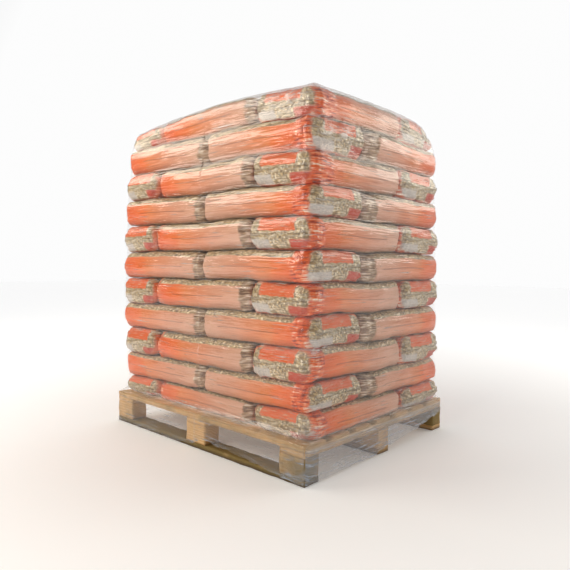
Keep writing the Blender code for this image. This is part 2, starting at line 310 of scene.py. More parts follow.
def printed_sack_material():
    """Blown polyethylene film, clear, printed in orange that fades out, tight over wood pellets.

    The eye sees a smooth orange field under a soft gloss, the pellets' grain where
    the film is bare, and small crinkles that catch the light, with highlights and shade
    painted into the colour of their folds.
    """
    material, tree, shader = new_material("printed_polyethylene_sack")
    rest = stored(tree, "rest", "Vector")
    tone = stored(tree, "tone")
    knob = stored(tree, "knob")
    gather = stored(tree, "gather")
    end = stored(tree, "end")
    upper = stored(tree, "upper")
    place = add(tree, "ShaderNodeSeparateXYZ", {0: rest}).outputs
    along, across, rise = place["X"], place["Y"], place["Z"]
    pellets, pellet_distance = pellet_filling(tree, rest)

    # Folds run along the sack; at its head others run round it, and slack film folds level
    skin = stored(tree, "skin", "Vector")
    long_folds = drawn_noise(tree, skin, (1.0, 0.11, 1.0), 13, 4.0, 0.6)
    round_folds = drawn_noise(tree, skin, (0.22, 1.0, 1.0), 8, 4.0, 0.6)
    hairlines = drawn_noise(tree, skin, (1.0, 0.045, 1.0), 6, 3.0, 0.65)
    crumple = drawn_noise(tree, rest, (1.0, 1.0, 1.0), 17, 5.0, 0.65)
    slack = drawn_noise(tree, rest, (0.12, 0.12, 1.0), 6, 2.0, 0.6)
    pleats = drawn_noise(tree, rest, (0.12, 0.12, 1.0), 7, 3.0, 0.6)

    # Along folds in clear film thin whitish lines are painted, painted highlights on the folds, and printed film
    # is worn there
    fold_line = ramped(tree, apart(tree, slack, 0.54), 0.030, 0.0, 0.0, 0.50)
    long_line = ramped(tree, apart(tree, long_folds, 0.52), 0.022, 0.0, 0.0, 0.55)
    fold_highlight = sums(tree, "MAXIMUM", fold_line, long_line)
    clear = blended(tree, fold_highlight, pellets, linear("#E8D3B2"))

    # The ink fades from the head of the sack to its tail, with one clear step
    wander = add(tree, "ShaderNodeTexNoise", {"Vector": rest, "Scale": 9.0, "Detail": 3.0}).outputs["Fac"]
    ink_place = sums(tree, "MULTIPLY_ADD", tone, 0.025, sums(tree, "MULTIPLY_ADD", wander, 0.05, along))
    ink = add(tree, "ShaderNodeValToRGB", {"Fac": ramped(tree, ink_place, 0.0, 0.60)},
              stops=[(0.06, "#DC7850"), (0.13, "#E66010"), (0.24, "#EA6A16"), (0.34, "#EA7222"),
                     (0.39, "#E4803E"), (0.55, "#DE8A5C"), (0.72, "#DA9876"), (1.0, "#D6A488")]).outputs[0]
    # Fine folds in the ink are painted: light lines are painted highlights, dark lines painted shade
    streak = ramped(tree, hairlines, 0.54, 0.76, 0.0, 0.45)
    streaked = blended(tree, streak, ink, linear("#F0C4A4"))
    deep = blended(tree, ramped(tree, hairlines, 0.46, 0.30, 0.0, 0.40), streaked, linear("#A8521F"))

    # A printed row of small dark ticks along the side
    on_row = ramped(tree, apart(tree, rise, -0.005), 0.0024, 0.0014)
    from_start = ramped(tree, along, 0.150, 0.153)
    to_stop = ramped(tree, along, 0.490, 0.487)
    ticks = ramped(tree, drawn_noise(tree, rest, (1.0, 0.0, 0.0), 3, 1.0), 0.42, 0.50, 0.05, 0.60)
    row = sums(tree, "MULTIPLY", sums(tree, "MULTIPLY", on_row, from_start),
               sums(tree, "MULTIPLY", to_stop, ticks))
    side_ink = blended(tree, row, deep, linear("#6E3020"))

    # Printed panels on the sides and on the two flats, with bare margins between them
    edge_noise = add(tree, "ShaderNodeTexNoise", {"Vector": rest, "Scale": 14.0, "Detail": 2.0})
    edge_wander = edge_noise.outputs["Fac"]
    wavy_rise = sums(tree, "MULTIPLY_ADD", edge_wander, -0.012, rise)
    on_side = ramped(tree, wavy_rise, 0.0330, 0.0300)
    on_flat = ramped(tree, apart(tree, across), 0.100, 0.096)
    flat_panel = sums(tree, "MULTIPLY", upper, on_flat)
    side_panel = sums(tree, "MULTIPLY", on_side, sums(tree, "SUBTRACT", 1.0, upper))
    panel = sums(tree, "MAXIMUM", side_panel, flat_panel)
    printed = blended(tree, panel, clear, side_ink)
    # Painted shade along the side's lower edge, darker towards the seam below
    side = blended(tree, ramped(tree, rise, -0.026, -0.056, 0.0, 0.50), printed, linear("#7C4526"))

    # Plain blocks of colour on the end at the head
    crumpled_rise = sums(tree, "MULTIPLY_ADD", crumple, 0.016, sums(tree, "SUBTRACT", rise, 0.008))
    crumpled_across = sums(tree, "MULTIPLY_ADD", edge_wander, 0.022, sums(tree, "SUBTRACT", across, 0.004))
    in_top = sums(tree, "MULTIPLY", ramped(tree, crumpled_rise, 0.010, 0.014),
                  ramped(tree, apart(tree, crumpled_across, 0.012), 0.092, 0.088))
    low = ramped(tree, crumpled_rise, -0.018, -0.022)
    in_red = sums(tree, "MULTIPLY", low, ramped(tree, crumpled_across, -0.048, -0.053))
    in_pale = sums(tree, "MULTIPLY", low, ramped(tree, crumpled_across, 0.040, 0.045))
    worn = ramped(tree, slack, 0.52, 0.68, 1.0, 0.50)
    # Crumpled clear film on the end gets whitish patches: painted glare
    bare = blended(tree, ramped(tree, slack, 0.46, 0.66, 0.05, 0.55), pellets, linear("#EADFCB"))
    end_ink = bare
    for place, wear, colour in ((in_top, worn, "#E2621A"), (in_red, worn, "#C23C0E"), (in_pale, 0.7, "#CFC9C6")):
        end_ink = blended(tree, sums(tree, "MULTIPLY", place, wear), end_ink, linear(colour))
    ended = blended(tree, end, side, end_ink)

    # Dense ink in the crumpled head and bare pleats in the gathered tail, both with painted shade in the valleys
    # of their folds and painted highlights on the crests
    knob_folds = sums(tree, "MULTIPLY_ADD", pleats, 0.72, sums(tree, "MULTIPLY", round_folds, 0.28))
    knob_shade = add(tree, "ShaderNodeValToRGB", {"Fac": knob_folds},
                     stops=[(0.40, "#8E2C06"), (0.46, "#D85010"), (0.52, "#EA6418"), (0.57, "#F4905A"),
                            (0.63, "#FCE6D2")]).outputs[0]
    knob_share = sums(tree, "MULTIPLY", knob, sums(tree, "SUBTRACT", 1.0, end))
    headed = blended(tree, knob_share, ended, knob_shade)
    pleat_shade = add(tree, "ShaderNodeValToRGB", {"Fac": pleats},
                      stops=[(0.38, "#664C30"), (0.46, "#94785A"), (0.54, "#C2A480"),
                             (0.62, "#F2E6D6")]).outputs[0]
    tailed = blended(tree, sums(tree, "MULTIPLY", gather, 0.85), headed, pleat_shade)
    tree.links.new(tailed, shader.inputs["Base Color"])

    turned = add(tree, "ShaderNodeMix", {0: sums(tree, "MAXIMUM", knob, end), 2: long_folds, 3: knob_folds})
    lined = sums(tree, "MULTIPLY_ADD", hairlines, 0.45, turned.outputs[0])
    height = sums(tree, "MULTIPLY_ADD", pellet_distance, -0.22, lined)
    depth = sums(tree, "MULTIPLY_ADD", sums(tree, "MAXIMUM", knob, gather), 0.5, 0.42)
    bump = add(tree, "ShaderNodeBump", {"Height": height, "Strength": depth, "Distance": 3.2 * MM})
    tree.links.new(bump.outputs[0], shader.inputs["Normal"])
    shader.inputs["Roughness"].default_value = 0.48
    shader.inputs["IOR"].default_value = 1.51
    return material


def stretch_film_material():
    """Cast linear polyethylene film wound in many turns: clear, with fine level stretch lines.

    The eye sees the load through it, a thin haze that is denser where the film bridges
    a gap, white streaks painted in as glints, and hard narrow glints.
    """
    material, tree, haze_shader = new_material(FILM_LOOK)
    rest = stored(tree, "rest", "Vector")
    bunched = stored(tree, "bunched")
    wrinkled = stored(tree, "wrinkled")
    streaks = drawn_noise(tree, rest, (0.05, 1.0, 1.0), 9, 5.0, 0.70)
    folds = drawn_noise(tree, rest, (0.35, 1.0, 1.0), 16, 4.0, 0.62, 0.6)
    ridges = drawn_noise(tree, rest, (0.06, 1.0, 1.0), 8, 1.0)
    # Thin white lines, painted glints along the film's stretch lines, more of them where it is wrinkled
    drawn = sums(tree, "MULTIPLY_ADD", wrinkled, 0.035, streaks)
    glint_lines = ramped(tree, drawn, 0.60, 0.72, 0.0, 0.70)
    lifted = ramped(tree, stored(tree, "lift"), 0.004, 0.030, 0.0, 0.02)
    # Where turns lie bunched the film is whiter, partly from the turns and partly painted glare
    folded = sums(tree, "MULTIPLY", bunched, ramped(tree, folds, 0.46, 0.66, 0.05, 0.80))
    flat_haze = sums(tree, "ADD", glint_lines, stored(tree, "veil"))
    haze = sums(tree, "ADD", flat_haze, sums(tree, "ADD", lifted, folded))
    share = add(tree, "ShaderNodeClamp", {0: haze, 1: 0.0, 2: 0.85}).outputs[0]

    # Flat stretches lie smooth; wrinkled ones bend sharply
    bend = add(tree, "ShaderNodeMix", {0: wrinkled, 2: ridges, 3: folds}).outputs[0]
    bump = add(tree, "ShaderNodeBump", {"Height": bend, "Strength": 1.0, "Distance": 2.6 * MM}).outputs[0]
    # Hazy film is tinted: wood colour at the rim, and over the openings a bluish grey, painted shade of the
    # openings behind it
    tint = add(tree, "ShaderNodeValToRGB", {"Fac": stored(tree, "shade")},
               stops=[(0.0, "#CBAE88"), (0.5, "#E6DFD8"), (1.0, "#B4BECC")]).outputs[0]
    tree.links.new(tint, haze_shader.inputs["Base Color"])
    haze_shader.inputs["Roughness"].default_value = 0.40
    tree.links.new(bump, haze_shader.inputs["Normal"])
    clear = add(tree, "ShaderNodeBsdfTransparent")
    gloss = add(tree, "ShaderNodeBsdfGlossy", {"Color": (1, 1, 1, 1), "Roughness": 0.08, "Normal": bump})
    hazy = add(tree, "ShaderNodeMixShader", {0: share, 1: clear.outputs[0], 2: haze_shader.outputs[0]})
    # Several turns lie on each other, so together they reflect more than one sheet
    facing = add(tree, "ShaderNodeLayerWeight", {"Blend": 0.5, "Normal": bump}).outputs["Facing"]
    glance = sums(tree, "MULTIPLY_ADD", sums(tree, "POWER", facing, 5.0), 0.7, 0.052)
    film = add(tree, "ShaderNodeMixShader", {0: glance, 1: hazy.outputs[0], 2: gloss.outputs[0]})
    output = next(node for node in tree.nodes if node.type == "OUTPUT_MATERIAL")
    tree.links.new(film.outputs[0], output.inputs["Surface"])
    return material


def pine_material():
    """Pine, rough sawn and weathered: pale earlywood, darker latewood lines, grey and green stains.

    The eye sees warm straw-coloured grain along each board, rings on sawn ends,
    saw marks, and dark damp edges near the floor.
    """
    material, tree, shader = new_material("rough_sawn_pine")
    rest = stored(tree, "rest", "Vector")
    tone = stored(tree, "tone")
    moss = stored(tree, "moss")
    damp = stored(tree, "damp")
    grain = add(tree, "ShaderNodeMapping", {"Vector": rest, "Scale": (0.05, 1.0, 1.0)}).outputs[0]
    drift = add(tree, "ShaderNodeTexNoise", {"Vector": grain, "Scale": 14.0, "Detail": 2.0}).outputs["Color"]
    warped = add(tree, "ShaderNodeVectorMath", {0: drift, 1: (0.0, 0.035, 0.035), 2: grain},
                 operation="MULTIPLY_ADD").outputs[0]
    # Growth rings 5 mm apart, drawn a little wide so that they show
    ring_scale = 1 / (5 * MM) / 6.28
    inputs = {"Vector": warped, "Scale": ring_scale, "Distortion": 1.5, "Detail": 2.0}
    rings = add(tree, "ShaderNodeTexWave", inputs, wave_type="RINGS", rings_direction="X").outputs["Fac"]
    fibre = drawn_noise(tree, rest, (0.05, 1.0, 1.0), 3.5, 4.0, 0.7)
    mixed = sums(tree, "MULTIPLY_ADD", rings, 0.22, sums(tree, "MULTIPLY_ADD", fibre, 0.8, 0.09))
    wood = add(tree, "ShaderNodeValToRGB", {"Fac": mixed},
               stops=[(0.22, "#B08048"), (0.45, "#CE9E64"), (0.62, "#DCB27A"), (0.90, "#E8CA98")]).outputs[0]
    patches = add(tree, "ShaderNodeTexNoise", {"Vector": rest, "Scale": 7.0, "Detail": 5.0,
                                               "Roughness": 0.65}).outputs["Fac"]
    dirty = ramped(tree, sums(tree, "MULTIPLY_ADD", tone, 0.18, patches), 0.50, 0.80, 0.0, 0.6)
    weathered = blended(tree, dirty, wood, linear("#8E7651"))
    green = ramped(tree, sums(tree, "MULTIPLY_ADD", moss, 0.45, patches), 0.62, 0.92, 0.0, 0.85)
    mossy = blended(tree, green, weathered, linear("#75632B"))
    dampness = sums(tree, "MULTIPLY_ADD", patches, 0.5, sums(tree, "SUBTRACT", damp, 0.25))
    wet = ramped(tree, dampness, 0.45, 0.95, 0.0, 0.8)
    soiled = blended(tree, wet, mossy, linear("#54422C"))
    tree.links.new(soiled, shader.inputs["Base Color"])
    saw = drawn_noise(tree, rest, (1.0, 1.0, 1.0), 2, 2.0)
    relief = sums(tree, "MULTIPLY_ADD", saw, 0.25, mixed)
    bump = add(tree, "ShaderNodeBump", {"Height": relief, "Strength": 0.6, "Distance": 1.4 * MM})
    tree.links.new(bump.outputs[0], shader.inputs["Normal"])
    rough = ramped(tree, fibre, 0.3, 0.7, 0.68, 0.88)
    tree.links.new(rough, shader.inputs["Roughness"])
    return material


# Sacks

def sack_ring(half_width, half_height, bulge):
    """The points round a sack at one place along it, from the bottom of its right side."""
    angle = np.linspace(-math.pi / 2, math.pi / 2, SIDE_POINTS)
    power = 2 / SIDE_FULLNESS
    out = bulge * np.cos(angle).clip(0) ** power
    up = half_height * np.sign(np.sin(angle)) * np.abs(np.sin(angle)) ** power
    flat = np.linspace(1, -1, FLAT_POINTS + 2)[1:-1] * (half_width - bulge)
    side = half_width - bulge + out
    across = np.concatenate([side, flat, -side[::-1], -flat])
    level = np.full(FLAT_POINTS, half_height)
    rise = np.concatenate([up, level, up[::-1], -level])
    return np.stack([across, rise], axis=-1)


def sack_stations(length, half_width, half_height, knob_length, gather_length):
    """Along, half width, half height and bulge of each ring, from the head's seam to the tail's."""
    gathered = 1.0 if gather_length else 0.0
    quarter = np.linspace(0.02, 1, CAP_RINGS) * math.pi / 2
    head_power, tail_power = 2 / HEAD_FULLNESS, 2 / TAIL_FULLNESS
    head_in = np.cos(quarter).clip(0) ** head_power
    tail_in = np.cos(quarter[::-1]).clip(0) ** tail_power
    head = HEAD_LENGTH * (1 - head_in)
    tail = length - TAIL_LENGTH * (1 - tail_in)
    knob_end = knob_length + 0.012
    gather_start = length - max(gather_length, 0.030) - 0.010
    knob = np.linspace(HEAD_LENGTH, knob_end, HEAD_RINGS + 1)[1:]
    body = np.linspace(knob_end, gather_start, BODY_RINGS + 1)[1:]
    pleats = np.linspace(gather_start, length - TAIL_LENGTH, TAIL_RINGS + 1)[1:-1]
    middle = np.concatenate([knob, body, pleats])
    along = np.concatenate([head, middle, tail])
    height = np.concatenate([np.sin(quarter) ** head_power, np.ones(len(middle)),
                             np.sin(quarter[::-1]) ** tail_power])
    inset = np.concatenate([HEAD_INSET * head_in, np.zeros(len(middle)), TAIL_INSET * tail_in])
    narrowed = gathered * smooth_step(length - gather_length - 0.004, length - gather_length + 0.014, along)
    height = height * (1 - (1 - GATHER_HEIGHT) * narrowed)
    bulge = SIDE_BULGE * np.minimum(1.0, 0.35 + 0.65 * height)
    return along, half_width - inset - GATHER_INSET * narrowed, half_height * height, bulge


def sack_shape(length, half_width, half_height, style, seed):
    """One filled sack along +X from its head, as a grid of points, and its points at rest."""
    crinkled, knob_length, gather_length = style
    stations = sack_stations(length, half_width, half_height, knob_length, gather_length)
    rings = []
    for x, width, height, bulge in zip(*stations):
        ring = sack_ring(width, height, bulge)
        rings.append(np.column_stack([np.full(len(ring), x), ring]))
    grid = np.array(rings)
    rest = grid.copy()
    normal = surface_normals(grid)
    middle = grid[len(grid) // 2]
    steps = np.linalg.norm(np.roll(middle, -1, axis=0) - middle, axis=1)
    around = np.cumsum(steps) - steps[0]
    shifted = grid + seed * 3.7
    x = grid[..., 0]

    # Pleats 13 mm apart run out to a gathered tail
    if gather_length:
        pleat = creased(np.sin(math.pi * around / 0.013 + 1.8 * ripple(shifted, (0.20, 0.05, 0.05), 21)))
        tail_share = smooth_step(length - gather_length - 0.02, length - gather_length + 0.006, x)
        grid += normal * (0.0014 * tail_share * pleat)[..., None]

    # A head that was folded in is crumpled, mostly in level folds
    crumple = creased(ripple(shifted, (0.080, 0.060, 0.017), 22)) + 0.5 * creased(ripple(shifted, 0.024, 23))
    head_share = 1.0 - smooth_step(knob_length - 0.012, knob_length + 0.012, x)
    grid += normal * (0.0014 * crinkled * head_share * crumple)[..., None]
    waist = np.exp(-((x - knob_length - 0.004) / 0.010) ** 2)
    grid -= normal * (0.0018 * crinkled * waist)[..., None]

    # Slack film lies in long shallow folds over the filling's lumps
    folds = creased(ripple(shifted, (0.35, 0.035, 0.03), 24))
    lumps = ripple(shifted, (0.13, 0.09, 0.07), 25)
    grid += normal * (0.0009 * folds + 0.0022 * lumps)[..., None]
    # The end at the head is crumpled film over loose pellets
    dents = creased(ripple(shifted, (0.030, 0.045, 0.022), 27)) * (1 - smooth_step(0.016, 0.036, x))
    grid[..., 0] += 0.0016 * dents
    grid[..., 2] = np.clip(grid[..., 2], -half_height, half_height)
    travel = np.cumsum(np.linalg.norm(np.diff(rest, axis=0, prepend=rest[:1]), axis=2).mean(axis=1))
    skin = np.zeros(grid.shape)
    skin[..., 0] = around[None, :]
    skin[..., 1] = travel[:, None]
    skin[..., 2] = seed * 0.37
    return grid, rest, normal, skin


def lay_sack(name, layer, low, high, z_low, z_high, heading, style, seed, material):
    """Lays a sack in a rectangle of the plan; heading is the way its head points, as (x, y)."""
    crinkled, knob_length, gather_length = style
    size = np.array(high) - np.array(low)
    lengthwise = 0 if heading[0] else 1
    length, width = size[lengthwise], size[1 - lengthwise]
    height = (z_high - z_low) / 2
    grid, rest, normal, skin = sack_shape(length, width / 2, height, style, seed)
    centre = (np.array(low) + np.array(high)) / 2
    forward = -np.array(heading, dtype=float)
    sideways = np.array([-forward[1], forward[0]])
    local = grid - np.array([length / 2, 0, 0])
    plan = centre + local[..., :1] * forward + local[..., 1:2] * sideways
    points = np.concatenate([plan, local[..., 2:] + z_low + height], axis=-1)
    points = slump(points)
    rows, columns = points.shape[:2]
    faces = grid_faces(rows, columns, wrap=True).tolist()
    faces.append(list(range(columns))[::-1])
    faces.append([(rows - 1) * columns + i for i in range(columns)])
    piece = mesh_object(name, points.reshape(-1, 3), [face[::-1] for face in faces])
    flat_rest = rest.reshape(-1, 3)
    x = flat_rest[:, 0]
    tremor = 0.004 * ripple(flat_rest + seed, 0.03, 26)
    keep_vector(piece, "rest", flat_rest)
    keep_vector(piece, "skin", skin.reshape(-1, 3))
    keep_number(piece, "tone", np.full(rows * columns, np.random.default_rng(seed).uniform(-1, 1)))
    gather_start = length - gather_length
    in_knob = 1 - smooth_step(knob_length - 0.004, knob_length + 0.004, x + tremor)
    keep_number(piece, "knob", crinkled * in_knob)
    keep_number(piece, "gather", smooth_step(gather_start - 0.004, gather_start + 0.004, x + tremor))
    keep_number(piece, "end", 1 - smooth_step(0.016, 0.024, x + 0.5 * tremor))
    keep_number(piece, "upper", smooth_step(0.80, 0.92, np.abs(normal.reshape(-1, 3)[:, 2])))
    piece.data.materials.append(material)
    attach(piece, "root")
    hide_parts(layer)
    return piece


# How crinkled a sack's head is, how long that head is, and how long its gathered tail
PLAIN_HEAD = (0.25, 0.045, 0.060)
FRONT_LEFT = (0.25, 0.045, 0.043)
FRONT_MIDDLE = (0.65, 0.052, 0.034)
SIDE_ROW = (0.25, 0.045, 0.072)
CORNER_HEAD = (1.0, 0.088, 0.0)
LONG_CORNER_HEAD = (1.0, 0.130, 0.0)


def odd_layer_plan(length, width, corner):
    """Three columns in front of a back row, with the middle column turned across."""
    end = (length - 3 * SACK_JOINT) / 4
    long = width - CROSS_JOINT - BACK_ROW
    half = (length - SACK_JOINT) / 2
    inner, outer = LEFT_COLUMN + SACK_JOINT, length - RIGHT_COLUMN - SACK_JOINT
    back = width - BACK_ROW
    yield (0, 0), (LEFT_COLUMN, long), (0, -1), PLAIN_HEAD
    yield (length - RIGHT_COLUMN, 0), (length, long), (0, -1), corner
    yield (inner, 0), (outer, end), (-1, 0), FRONT_MIDDLE
    yield (inner, end + SACK_JOINT), (outer, long), (1, 0), PLAIN_HEAD
    yield (0, back), (half, width), (-1, 0), PLAIN_HEAD
    yield (half + SACK_JOINT, back), (length, width), (1, 0), CORNER_HEAD


def even_layer_plan(length, width):
    """Two sacks across the front and four behind them, front to back."""
    end = (length - 3 * SACK_JOINT) / 4
    joint = (length - SACK_JOINT) / 2 + JOINT_SHIFT
    start = FRONT_ROW + CROSS_JOINT
    yield (0, 0), (joint, FRONT_ROW), (-1, 0), FRONT_LEFT
    yield (joint + SACK_JOINT, 0), (length, FRONT_ROW), (1, 0), CORNER_HEAD
    for number in range(4):
        left = number * (end + SACK_JOINT)
        yield (left, start), (left + end, width), (0, 1), SIDE_ROW


def lay_layer(layer, material):
    number = int(layer.split("_")[1])
    low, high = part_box(layer)
    length, width = high[0] - low[0], high[1] - low[1]
    corner = LONG_CORNER_HEAD if number > 8 else CORNER_HEAD
    plan = odd_layer_plan(length, width, corner) if number % 2 else even_layer_plan(length, width)
    sacks = []
    for place, (near, far, heading, style) in enumerate(plan, 1):
        near = (near[0] + low[0], near[1] + low[1])
        far = (far[0] + low[0], far[1] + low[1])
        sacks.append(lay_sack(f"sack_{number:02d}_{place}", layer, near, far, low[2], high[2],
                              heading, style, number * 10 + place, material))
    return sacks


# Film

def rounded_loop(half_x, half_y, radius, count):
    """Points and outward directions along a rounded rectangle, from the middle of its front."""
    along_x, along_y = 2 * (half_x - radius), 2 * (half_y - radius)
    sides = [along_x / 2, along_y, along_x, along_y, along_x / 2]
    turn = radius * math.pi / 2
    points, outward = [], []
    total = sum(sides) + 4 * turn
    for distance in np.arange(count) / count * total:
        position, heading, left = np.array([0.0, -half_y]), 0.0, distance
        for side in sides:
            step = min(left, side)
            position = position + step * np.array([math.cos(heading), math.sin(heading)])
            left -= step
            if left <= 1e-12:
                break
            bend = min(left, turn) / radius
            pivot = position + radius * np.array([-math.sin(heading), math.cos(heading)])
            heading += bend
            position = pivot + radius * np.array([math.sin(heading), -math.cos(heading)])
            left -= bend * radius
            if left <= 1e-12:
                break
        points.append(position)
        outward.append([math.sin(heading), -math.cos(heading)])
    return np.array(points), np.array(outward), np.arange(count) / count * total


def shifted_fields(field, reach, axis, wrap):
    pad = [(reach, reach) if axis == side else (0, 0) for side in range(2)]
    padded = np.pad(field, pad, mode="wrap" if wrap else "edge")
    size = field.shape[axis]
    return [np.take(padded, np.arange(shift, shift + size), axis=axis) for shift in range(2 * reach + 1)]


def bridge(field, reach, axis, wrap):
    """Fills the valleys of a height field that are narrower than twice its reach."""
    raised = np.maximum.reduce(shifted_fields(field, reach, axis, wrap))
    return np.minimum.reduce(shifted_fields(raised, reach, axis, wrap))


def soften(field, reach, axis, wrap):
    return np.mean(shifted_fields(field, reach, axis, wrap), axis=0)


def solid_tree(pieces):
    points, faces, start = [], [], 0
    for piece in pieces:
        mesh = piece.data
        points += [vertex.co.copy() for vertex in mesh.vertices]
        faces += [[index + start for index in face.vertices] for face in mesh.polygons]
        start = len(points)
    return BVHTree.FromPolygons(points, faces)


def load_outline(z):
    """Half the length and width of the load at height z, and its middle there."""
    boxes = np.array([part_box(layer) for layer in LAYERS])
    heights = boxes[:, :, 2].mean(axis=1)
    low = [np.interp(z, heights, boxes[:, 0, axis]) for axis in range(2)]
    high = [np.interp(z, heights, boxes[:, 1, axis]) for axis in range(2)]
    return (high[0] - low[0]) / 2, (high[1] - low[1]) / 2, (np.array(low) + np.array(high)) / 2


def finish_film(piece, rest, looks):
    """Gives a sheet of film its material and record; looks are the numbers that its material reads."""
    keep_vector(piece, "rest", rest.reshape(-1, 3))
    for name, values in looks.items():
        keep_number(piece, name, np.broadcast_to(values, rest.shape[:-1]))
    piece.data.materials.append(bpy.data.materials[FILM_LOOK])
    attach(piece, "root")
    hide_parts("stretch_film")
    return piece


def lay_top_sheet(tree):
    """The cover sheet on top of the load, under the wound film."""
    half_x, half_y, middle = load_outline(LOAD_HIGH[2])
    size_x, size_y = 2 * half_x - 0.04, 2 * half_y - 0.04
    xs = np.linspace(-size_x / 2, size_x / 2, int(size_x / TOP_SHEET_SPACING)) + middle[0]
    ys = np.linspace(-size_y / 2, size_y / 2, int(size_y / TOP_SHEET_SPACING)) + middle[1]
    start = LOAD_HIGH[2] + 0.05
    x_flat, y_flat = np.meshgrid(xs, ys)
    flat = np.stack([x_flat, y_flat, np.zeros_like(x_flat)], axis=-1)
    plan = draw_in(flat + np.array((0, 0, LOAD_HIGH[2])))[..., :2]
    height = np.zeros(x_flat.shape)
    for row, column in np.ndindex(height.shape):
        hit = tree.ray_cast(Vector((*plan[row, column], start)), Vector((0, 0, -1)), 0.14)
        height[row, column] = start - hit[3] if hit[0] else LOAD_HIGH[2] - 0.05
    film = bridge(bridge(height, 5, 0, False), 5, 1, False)
    film = soften(soften(film, 3, 0, False), 3, 1, False)
    film = np.maximum(soften(soften(np.maximum(film, height), 1, 0, False), 1, 1, False), height)
    film += 0.0008 + 0.0012 * (1 + creased(ripple(flat, (0.35, 0.06, 1.0), 41))) / 2
    points = np.concatenate([plan, film[..., None]], axis=-1)
    piece = mesh_object("film_top_sheet", points.reshape(-1, 3), grid_faces(len(ys), len(xs), wrap=False))
    looks = {"lift": film - height, "bunched": 0.35 * smooth_step(0.2, 0.9, ripple(flat, 0.18, 42)),
             "wrinkled": 0.5, "veil": 0.10, "shade": 0.5}
    return finish_film(piece, flat, looks)


# Places where turns of film lie bunched, where the film is also painted whiter as glare: middle, reach and how
# much
BUNCHES = (
    ((0.580, 0.400, 1.345), (0.06, 0.11, 0.07), 1.0),
    ((0.585, -0.290, 1.255), (0.05, 0.10, 0.040), 0.9),
    ((0.580, -0.440, 1.300), (0.07, 0.06, 0.022), 0.8),
    ((0.440, -0.450, 1.365), (0.11, 0.06, 0.040), 0.8),
    ((0.560, -0.475, 1.185), (0.05, 0.05, 0.018), 0.8),
    ((0.560, -0.480, 0.940), (0.05, 0.05, 0.018), 0.7),
    ((0.590, -0.440, 0.470), (0.06, 0.06, 0.020), 0.6),
    ((-0.590, 0.480, 1.350), (0.10, 0.10, 0.06), 0.8),
    ((0.585, -0.455, 0.180), (0.06, 0.06, 0.030), 0.6),
    ((0.590, -0.490, 0.070), (0.09, 0.07, 0.055), 0.45),
)


def bunching(points):
    amount = np.zeros(points.shape[:-1])
    for middle, reach, most in BUNCHES:
        away = ((points - np.array(middle)) / np.array(reach)) ** 2
        amount = np.maximum(amount, most * np.exp(-away.sum(axis=-1)))
    return amount


def cornering(points, reach):
    """How close points are to the load's upright corners, from 0 to 1 at them."""
    amount = np.zeros(points.shape[:-1])
    for x in (LOAD_LOW[0], LOAD_HIGH[0]):
        for y in (LOAD_LOW[1], LOAD_HIGH[1]):
            away = (points[..., 0] - x) ** 2 + (points[..., 1] - y) ** 2
            amount = np.maximum(amount, np.exp(-away / reach ** 2))
    return amount


def wrinkling(points):
    """How wrinkled taut film is, from 0 to 1: most at the load's upright corners and top edge."""
    amount = np.maximum(cornering(points, 0.17), 0.22)
    edge = smooth_step(LOAD_HIGH[2] - 0.13, LOAD_HIGH[2] - 0.02, points[..., 2])
    return np.maximum(amount, 0.75 * edge)


